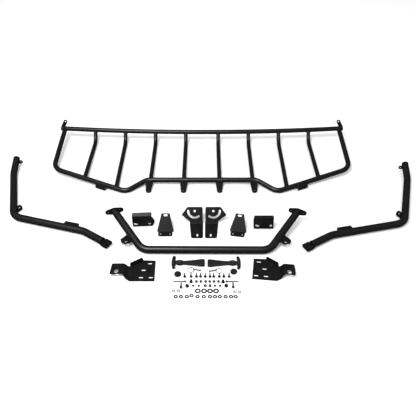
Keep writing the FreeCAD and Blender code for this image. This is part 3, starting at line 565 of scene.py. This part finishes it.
def thread(major, pitch, bottom, top, plain_to=None, inward=False):
    """A helical thread along Z: a rod with a chamfered top end, or a bore's inward one. Millimetres."""
    depth = pitch * 0.58
    around = 24
    steps_per_turn = 6
    rows = []
    steps = int((top - bottom) / pitch * steps_per_turn)
    for index in range(steps + 1):
        height = bottom + (top - bottom) * index / steps
        row = []
        for step in range(around):
            turn = step / around
            phase = (height / pitch - turn) % 1.0
            dip = depth * abs(2 * phase - 1)
            if plain_to is not None and height < plain_to:
                dip = 0.0
            if inward:
                radius = major + dip
            else:
                room = min(1.0, (top - height) / (pitch * 0.9))
                radius = major - dip - (1 - room) * depth * 1.1
            angle = FULL_TURN * turn
            row.append(Vector((radius * math.cos(angle), radius * math.sin(angle), height)) * MM)
        rows.append(row)
    centre_low = [Vector((0, 0, bottom)) * MM] * around
    centre_high = [Vector((0, 0, top)) * MM] * around
    if not inward:
        rows = [centre_low] + rows + [centre_high]
    result = grid(rows)
    bmesh.ops.remove_doubles(result, verts=result.verts, dist=1e-7)
    return result


def bolt(length, plain, flats, flange, shank, pitch):
    """A flange bolt standing on its head, its thread upwards past a plain length. Millimetres."""
    head = BOLT_HEAD
    cone = [
        (0.0, head - 3.4),
        (flats / 2 * 0.98, head - 3.4),
        (flats / 2 * 1.03, head - 2.6),
        (flange / 2 - 0.5, head - 0.7),
        (flange / 2, head - 0.2),
        (flange / 2, head + 0.6),
        (flange / 2 - 0.4, head + FLANGE_LIP),
        (shank / 2 + 0.6, head + FLANGE_LIP),
        (shank / 2, head + 1.5),
        (0.0, head + 1.5),
    ]
    hexagonal = hexagon_part(flats, head - 1.6, chamfer_top=False)
    rod = thread(shank / 2, pitch, head + 0.5, head + length, head + FLANGE_LIP + plain)
    dimple = lathe([(0.0, -0.02), (flats * 0.2, -0.02), (flats * 0.22, 0.05), (0.0, 0.05)], 24)
    return joined(hexagonal, lathe(cone, 48), rod, dimple)


def upright_copies(node, maker):
    """One bmesh of the fasteners that maker makes, each from the box of one of a node's solids."""
    parts = []
    for low, high, _points in solids(node):
        centre = Vector(((low.x + high.x) / 2, (low.y + high.y) / 2, low.z))
        parts.append(placed(maker(low, high), Matrix.Translation(centre)))
    return joined(*parts)


def lying_copies(node):
    """The bolts that lie on their sides, each found from its solid's box and its wider end."""
    parts = []
    for low, high, points in solids(node):
        span = high - low
        axis = 0 if span.x > span.y else 1
        other = 1 - axis
        middle = (low[axis] + high[axis]) / 2
        widths = []
        for chosen in (lambda value: value < middle, lambda value: value > middle):
            values = [point[other] for point in points if chosen(point[axis])]
            widths.append(max(values) - min(values))
        way = 1 if widths[0] > widths[1] else -1
        start = low[axis] if way > 0 else high[axis]
        along = Vector((way, 0, 0)) if axis == 0 else Vector((0, way, 0))
        origin = Vector((0, 0, (low.z + high.z) / 2))
        origin[axis] = start
        origin[other] = (low[other] + high[other]) / 2
        length = span[axis] / MM - BOLT_HEAD
        turn = along.to_track_quat("Z", "Y").to_matrix().to_4x4()
        if axis == 0:
            made = bolt(length, length - FLANGE_LIP - SMALL_BOLT_THREAD, **SMALL_BOLT)
        else:
            made = bolt(length, LARGE_BOLT_NECK, **LARGE_BOLT)
        parts.append(placed(made, Matrix.Translation(origin) @ turn))
    return joined(*parts)


def washer_part(outer, inner, thick):
    """A stamped washer with one rounded rim and a slight burr on the other."""
    soft = thick * 0.3
    profile = [
        (inner + soft * 0.4, 0.0),
        (outer - soft * 0.3, 0.0),
        (outer, soft * 0.4),
        (outer, thick - soft),
        (outer - soft * 0.35, thick - soft * 0.25),
        (outer - soft, thick),
        (inner + soft, thick),
        (inner + soft * 0.3, thick - soft * 0.3),
        (inner, thick - soft),
        (inner, soft * 0.4),
    ]
    return lathe(profile, 48, closed=True)


def washers(node, slot, inner):
    """A detailed piece for a node's washers, whose holes have the inner radius in millimetres."""

    def maker(low, high):
        """A washer that fills its solid's box."""
        return washer_part((high.x - low.x) / 2 / MM, inner, (high.z - low.z) / MM)

    piece(node + "_detail", upright_copies(node, maker), "loose_fasteners", slot, 40.0, node)


def nut_part(low, high):
    """A lock nut: chamfered hexagon, nylon-ring collar and a threaded bore."""
    flats = min(high.x - low.x, high.y - low.y) / MM
    height = (high.z - low.z) / MM
    bore = flats * 0.305
    body = hexagon_part(flats, height * 0.76, chamfer_top=True, bore=bore)
    collar = flats * 0.41
    rim = [
        (bore, height * 0.74),
        (collar, height * 0.74),
        (collar, height * 0.93),
        (collar - 0.5, height),
        (bore + 1.2, height),
        (bore + 0.6, height - 0.4),
        (bore, height * 0.9),
    ]
    inside = thread(bore - 0.1, flats * 0.1, 0.2, height * 0.75, inward=True)
    return joined(body, lathe(rim, 48, closed=True), inside)


def cone_part(low, high):
    """A rubber bumper: a foot, a tapering body with a groove, and a recess for its screw."""
    foot = (high.x - low.x) / 2 / MM
    tall = (high.z - low.z) / MM
    top = foot * 0.53
    profile = [
        (0.0, 0.0),
        (foot - 0.8, 0.0),
        (foot, 0.8),
        (foot, 2.6),
        (foot - 0.6, 3.4),
        (foot - 1.6, 3.9),
        (top + 1.9, tall - 6.0),
        (top + 1.1, tall - 5.2),
        (top + 1.2, tall - 4.2),
        (top + 0.8, tall - 1.6),
        (top - 0.4, tall - 0.3),
        (top - 1.4, tall),
        (2.9, tall),
        (2.5, tall - 0.5),
        (2.5, tall - 6.0),
        (0.0, tall - 6.0),
    ]
    return lathe(profile, 40)


def cap_part(low, high):
    """A ball cap: a rounded rubber cover with a moulding line and a flat foot."""
    radius = (high.x - low.x) / 2 / MM
    tall = (high.z - low.z) / MM
    centre = tall - radius
    profile = [(0.0, 0.0)]
    base = math.asin(max(-1.0, -centre / radius))
    steps = 26
    for step in range(steps + 1):
        angle = base + (math.pi / 2 - base) * step / steps
        reach = radius * math.cos(angle)
        if abs(angle) < 0.09:
            reach += 0.18
        profile.append((max(reach, 0.0), centre + radius * math.sin(angle)))
    return lathe(profile, 44)


def puck_part(low, high):
    """A rubber puck with a raised rim, a dished face and a hub with a hole."""
    radius = (high.x - low.x) / 2 / MM
    tall = (high.z - low.z) / MM
    hole = 3.5
    profile = [
        (hole, 0.4),
        (hole + 0.4, 0.0),
        (radius - 1.4, 0.0),
        (radius - 0.3, 1.0),
        (radius, tall * 0.45),
        (radius - 0.3, tall - 1.2),
        (radius - 1.5, tall),
        (radius - 4.2, tall),
        (radius - 5.4, tall - 1.6),
        (hole + 6.0, tall - 2.0),
        (hole + 4.6, tall - 0.4),
        (hole + 3.6, tall),
        (hole + 0.5, tall),
        (hole, tall - 0.5),
    ]
    return lathe(profile, 56, closed=True)


def puck_bush(low, high):
    """The steel bush in a puck's hole."""
    tall = (high.z - low.z) / MM
    profile = [
        (2.3, 0.6),
        (3.4, 0.6),
        (3.4, tall - 0.7),
        (3.0, tall - 0.35),
        (2.5, tall - 0.35),
        (2.3, tall - 0.7),
    ]
    return lathe(profile, 28, closed=True)


def fasteners():
    """The rows of loose fasteners and rubber parts, each node replaced by a detailed piece."""
    body = "loose_fasteners"

    def row_bolt(low, high):
        """A large bolt as tall as its solid, threaded all the way."""
        return bolt((high.z - low.z) / MM - BOLT_HEAD, 0.0, **LARGE_BOLT)

    def replaced(node, part, finish, smooth_angle):
        """A detailed piece in place of a node of loose fasteners."""
        piece(node + "_detail", part, body, finish, smooth_angle, node)

    replaced("flange_bolts", upright_copies("flange_bolts", row_bolt), "black_fastener", 35.0)
    replaced("short_bolts", upright_copies("short_bolts", row_bolt), "grey_zinc", 35.0)
    replaced("long_bolts", lying_copies("long_bolts"), "black_fastener", 35.0)
    replaced("lock_nuts", upright_copies("lock_nuts", nut_part), "black_fastener", 35.0)
    replaced("rubber_cones", upright_copies("rubber_cones", cone_part), "black_rubber", 40.0)
    replaced("ball_caps", upright_copies("ball_caps", cap_part), "black_rubber", 40.0)
    replaced("rubber_pucks", upright_copies("rubber_pucks", puck_part), "black_rubber", 40.0)
    piece("puck_bushes", upright_copies("rubber_pucks", puck_bush), body, "dark_zinc", 40.0)
    washers("small_washers", "dark_zinc", 5.5)
    washers("large_washers", "dark_zinc", 9.0)
    washers("zinc_washers", "zinc", 4.5)
    washers("nylon_washers", "pale_nylon", 4.5)


# ---------------------------------------------------------------- pins, rings, plugs and latches


RING_WIRE = 0.0015
RING_TURNS = 1.92
RING_STEPS = 150
RING_SIDES = 10
RING_FLATTENING = 0.72
RING_COIL_GAP = 1.05

# The torus's points at least this share of its reach from the middle lie on its outer rim.
RIM_SHARE = 0.997


def split_ring(word):
    """A pull ring of two flat coils of wire, as a key ring has, in the tilted plane of its CAD torus."""
    node = "pull_ring_" + word
    points = [vertex.co.copy() for vertex in nodes[node].data.vertices]
    centre = sum(points, Vector()) / len(points)
    far = max(points, key=lambda point: (point - centre).length)
    reach = (far - centre).length
    rim = [point for point in points if (point - centre).length > RIM_SHARE * reach]
    downhill = (min(rim, key=lambda point: point.z) - centre).normalized()
    level = downhill.cross(UP).normalized()
    normal = level.cross(downhill).normalized()
    if normal.z < 0:
        normal.negate()
    line = reach - RING_WIRE
    rings = []
    for index in range(RING_STEPS + 1):
        angle = FULL_TURN * RING_TURNS * index / RING_STEPS
        lift = RING_WIRE * RING_COIL_GAP * (index / RING_STEPS - 0.5)
        out = downhill * math.cos(angle) + level * math.sin(angle)
        taper = min(1.0, 0.3 + 0.7 * min(index, RING_STEPS - index) / 3)
        wide = RING_WIRE * taper
        thin = RING_WIRE * RING_FLATTENING * taper
        row = []
        for side in range(RING_SIDES):
            turn = FULL_TURN * side / RING_SIDES
            offset = out * math.cos(turn) * wide + normal * math.sin(turn) * thin
            spot = centre + out * line + normal * lift + offset
            spot.z = max(spot.z, FLOOR_GAP)
            row.append(spot)
        rings.append(row)
    piece(node + "_detail", grid(rings, capped=True), node, "ring_wire", 60.0, node)


def round_plug(base, axis, radius):
    """A domed plastic plug with a rim, in the mouth of a tube, from its base's middle outwards."""
    profile = [
        (0.0, 3.4),
        (radius * 0.35, 3.25),
        (radius * 0.62, 2.8),
        (radius * 0.84, 1.9),
        (radius * 0.9, 1.6),
        (radius * 0.96, 1.7),
        (radius, 1.2),
        (radius, 0.2),
        (radius * 0.97, 0.0),
        (0.0, 0.0),
    ]
    turn = axis.to_track_quat("Z", "Y").to_matrix().to_4x4()
    return placed(lathe(profile[::-1], 48), Matrix.Translation(base) @ turn)


def disc_frame(points):
    """The middle, axis and radius of a flat disc of points, and its span along the axis."""
    centre = sum(points, Vector()) / len(points)
    far = max(points, key=lambda point: (point - centre).length)
    first = (far - centre).normalized()
    best = max(points, key=lambda point: ((point - centre).cross(first)).length)
    second = (best - centre).normalized()
    axis = first.cross(second).normalized()
    spans = [(point - centre).dot(axis) for point in points]
    radius = max(((point - centre) - axis * (point - centre).dot(axis)).length for point in points)
    return centre, axis, radius, (min(spans), max(spans))


# Each node of plugs, the body they ride on and the tube they close.
PLUGS = (
    ("arm_plug_left", "side_arm_left", "arm_tube_left"),
    ("arm_plug_right", "side_arm_right", "arm_tube_right"),
    ("top_plugs", "guard", "top_tube"),
)
SMALLEST_PLUG = 0.01
TUBE_REACH = 0.12


def plugs():
    """Domed plugs in place of the flat ones at the tubes' open ends."""
    for node, body, tube in PLUGS:
        parts = []
        for low, high, points in solids(node):
            if (high - low).length < SMALLEST_PLUG:
                continue
            centre, axis, radius, span = disc_frame(points)
            inside = nearest_middle(nodes[tube], centre)
            if (centre - inside).dot(axis) < 0:
                axis = -axis
                span = (-span[1], -span[0])
            parts.append(round_plug(centre + axis * span[0], axis, radius / MM))
        piece(node + "_detail", joined(*parts), body, "black_plastic", 40.0, node)


def nearest_middle(tube, centre):
    """The mean of a tube's points near a point, so the way into the tube from its mouth."""
    close = [vertex.co for vertex in tube.data.vertices if (vertex.co - centre).length < TUBE_REACH]
    return sum(close, Vector()) / len(close) if close else Vector()


SECTION_SIDES = 28
SECTION_SQUARENESS = 3.2


def soft_section(centre, along, half_width, low, high):
    """A rounded-rectangle ring of points across a strap."""
    across = Vector((-along.y, along.x, 0)).normalized()
    middle = (low + high) / 2
    half_height = (high - low) / 2
    row = []
    for step in range(SECTION_SIDES):
        angle = FULL_TURN * step / SECTION_SIDES
        cosine = math.cos(angle)
        sine = math.sin(angle)
        wide = math.copysign(abs(cosine) ** (2 / SECTION_SQUARENESS), cosine) * half_width
        tall = math.copysign(abs(sine) ** (2 / SECTION_SQUARENESS), sine) * half_height
        row.append(centre + across * wide + UP * (middle + tall))
    return row


# The strap's sections along it from the T-handle's middle, in metres: the distance, half the width,
# and the heights of the underside and the top. The end's sections are measured back from its far end.
STRAP_SECTIONS = (
    (-0.002, 0.0135, 0.0040, 0.0190),
    (0.008, 0.0138, 0.0030, 0.0184),
    (0.014, 0.0132, 0.0022, 0.0176),
    (0.021, 0.0145, 0.0016, 0.0184),
    (0.027, 0.0172, 0.0010, 0.0204),
    (0.034, 0.0194, 0.0006, 0.0216),
    (0.042, 0.0199, 0.0004, 0.0219),
    (0.050, 0.0194, 0.0006, 0.0214),
    (0.057, 0.0170, 0.0009, 0.0200),
    (0.063, 0.0146, 0.0011, 0.0184),
    (0.070, 0.0141, 0.0012, 0.0172),
    (0.095, 0.0172, 0.0012, 0.0168),
    (0.125, 0.0212, 0.0012, 0.0168),
    (0.155, 0.0254, 0.0012, 0.0170),
    (0.166, 0.0272, 0.0008, 0.0179),
    (0.186, 0.0302, 0.0006, 0.0179),
    (0.194, 0.0306, 0.0006, 0.0174),
)
STRAP_END_SECTIONS = (
    (0.004, 0.0288, 0.0008, 0.0166),
    (0.001, 0.0264, 0.0020, 0.0148),
)

HANDLE_RADIUS = 0.012
HANDLE_STEPS = 40
HANDLE_SIDES = 20
HANDLE_END_PLACE = 0.0052
HANDLE_BOW = 0.0050
HANDLE_TAPER = 0.16
TIP_SHARE = 0.1

RIB_COUNT = 3
RIB_START = 0.174
RIB_SPACING = 0.0075
RIB_HALF_WIDTH = 0.0190
RIB_HEIGHT = 0.0180
RIB_STEPS = 12
RIB_SIDES = 10

RIVET_PLACE = (0.040, 0.003)
RIVET_HEIGHT = 0.0208
RIVET_PROFILE = [(0.0, 0.0), (2.6, 0.0), (2.9, 0.3), (2.7, 0.9), (1.9, 1.35), (0.0, 1.5)]


def strap_part(at, along, length):
    """The strap of a latch, lofted through its sections."""
    sections = list(STRAP_SECTIONS)
    for back, half_width, low, high in STRAP_END_SECTIONS:
        sections.append((length - back, half_width, low, high))
    rings = [soft_section(at(distance), along, *size) for distance, *size in sections]
    return grid(rings, capped=True)


def handle_part(at, half):
    """The bowed bar of a latch's T-handle, thinner toward its rounded tips."""
    rings = []
    for index in range(HANDLE_STEPS + 1):
        share = -1 + 2 * index / HANDLE_STEPS
        bow = HANDLE_BOW * (1 - share * share)
        past = max(0, abs(share) - (1 - TIP_SHARE)) / TIP_SHARE
        rounding = math.sqrt(max(0.02, 1 - past**2))
        radius = HANDLE_RADIUS * (1.0 - HANDLE_TAPER * abs(share)) * rounding
        centre = at(HANDLE_END_PLACE - bow, half * share)
        row = []
        for step in range(HANDLE_SIDES):
            angle = FULL_TURN * step / HANDLE_SIDES
            lift = math.sin(angle) * radius * 0.98 + HANDLE_RADIUS
            row.append(centre + Vector((math.cos(angle) * radius, 0, lift)))
        rings.append(row)
    return grid(rings, capped=True)


def rib_part(at, distance):
    """One low rib across a latch's strap, for grip."""
    rings = []
    for index in range(RIB_STEPS + 1):
        offset = (-1 + 2 * index / RIB_STEPS) * RIB_HALF_WIDTH
        centre = at(distance, offset) + UP * RIB_HEIGHT
        row = []
        for step in range(RIB_SIDES):
            angle = FULL_TURN * step / RIB_SIDES
            row.append(centre + Vector((math.cos(angle) * 0.0014, 0, math.sin(angle) * 0.0012)))
        rings.append(row)
    return grid(rings, capped=True)


def moulded(part):
    """A bmesh's overlapping shapes fused into one smooth skin that stays above the floor."""
    mesh = bpy.data.meshes.new("moulding_scratch")
    bmesh.ops.recalc_face_normals(part, faces=part.faces)
    part.to_mesh(mesh)
    part.free()
    scratch = linked("moulding_scratch", mesh)
    remesh = scratch.modifiers.new("remesh", "REMESH")
    remesh.mode = "VOXEL"
    remesh.voxel_size = 0.0011
    smooth = scratch.modifiers.new("smooth", "SMOOTH")
    smooth.factor = 0.5
    smooth.iterations = 3
    depsgraph = bpy.context.evaluated_depsgraph_get()
    result = bmesh.new()
    result.from_mesh(scratch.evaluated_get(depsgraph).to_mesh())
    bpy.data.objects.remove(scratch)
    for vertex in result.verts:
        vertex.co.z = max(vertex.co.z, FLOOR_GAP)
    return result


def latch(word, side):
    """A rubber T-handle latch, its strap, handle and ribs fused into one moulding, and its rivet."""
    node = "latch_" + word
    low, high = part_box(node)
    middle_y = (low.y + high.y) / 2
    outer_x = low.x if side < 0 else high.x
    start = outer_x - side * HANDLE_RADIUS
    length = high.x - low.x - HANDLE_RADIUS

    def at(distance, offset=0.0):
        """The point at floor height so far along the strap from the handle, and so far across it."""
        return Vector((start - side * distance, middle_y + offset, 0))

    strap = strap_part(at, Vector((-side, 0, 0)), length)
    handle = handle_part(at, (high.y - low.y) / 2 - 0.001)
    ribs = [rib_part(at, RIB_START + RIB_SPACING * number) for number in range(RIB_COUNT)]
    piece(node + "_detail", moulded(joined(strap, handle, *ribs)), node, "black_rubber", 60.0, node)

    place = Matrix.Translation(at(*RIVET_PLACE) + UP * RIVET_HEIGHT)
    piece("latch_rivet_" + word, placed(lathe(RIVET_PROFILE, 28), place), node, "zinc", 50.0)


# ---------------------------------------------------------------- CAD nodes


EDGE_SOFTENING = 0.0008
SOFTENED_ANGLE = math.radians(38)


def carried_over():
    """Finishes for every CAD node, and softened edges on the plates."""
    slots = {entry["node"]: entry["material_slot"] for entry in frame["record"]["subparts"]}
    for name, item in nodes.items():
        paint(item, "ring_wire" if name.startswith("clevis_pin") else slots[name])
        if slots[name] != "black_plate":
            continue
        weld = item.modifiers.new("weld", "WELD")
        weld.merge_threshold = SAME_POINT
        soften = item.modifiers.new("soften", "BEVEL")
        soften.width = EDGE_SOFTENING
        soften.segments = 2
        soften.limit_method = "ANGLE"
        soften.angle_limit = SOFTENED_ANGLE
        soften.harden_normals = False
        even = item.modifiers.new("even", "WEIGHTED_NORMAL")
        even.keep_sharp = False


def all_welds():
    """The weld beads of the guard, the side arms and the centre bar."""
    guard_pairs = []
    for index in range(1, 9):
        guard_pairs.append(("upright_%d" % index, "hoop_tube"))
        guard_pairs.append(("upright_%d" % index, "top_tube"))
    welds("weld_uprights", "guard", guard_pairs)
    welds("weld_hoop_ends", "guard", [("hoop_tube", "top_tube")], WIDE_WELD_RADIUS, keep=2)
    fittings = [("hinge_tongue_%d" % index, "hoop_tube") for index in range(1, 5)]
    fittings += [("keeper_left", "hoop_tube"), ("keeper_right", "hoop_tube")]
    welds("weld_fittings", "guard", fittings, keep=3)
    welds("weld_corner_tabs", "guard", [("corner_tabs", "top_tube")], keep=4)
    for word in ("left", "right"):
        body = "side_arm_" + word
        tube = "arm_tube_" + word
        names = ("arm_corner_tab_", "arm_saddle_", "arm_end_tab_")
        welds("weld_arm_" + word, body, [(name + word, tube) for name in names], keep=2)
        welds("weld_clevis_" + word, body, [("arm_tube_" + word, "arm_clevis_" + word)])
        flange = [("bar_tube", "bar_flange_" + word)]
        welds("weld_flange_" + word, "centre_bar", flange, WIDE_WELD_RADIUS)
        welds("weld_ears_" + word, "centre_bar", [("bar_ears_" + word, "bar_tube")], keep=3)


camera()
studio()
finishes()
carried_over()
all_welds()
fasteners()
plugs()
for word, side in (("left", -1), ("right", 1)):
    split_ring(word)
    latch(word, side)

bpy.context.view_layer.update()
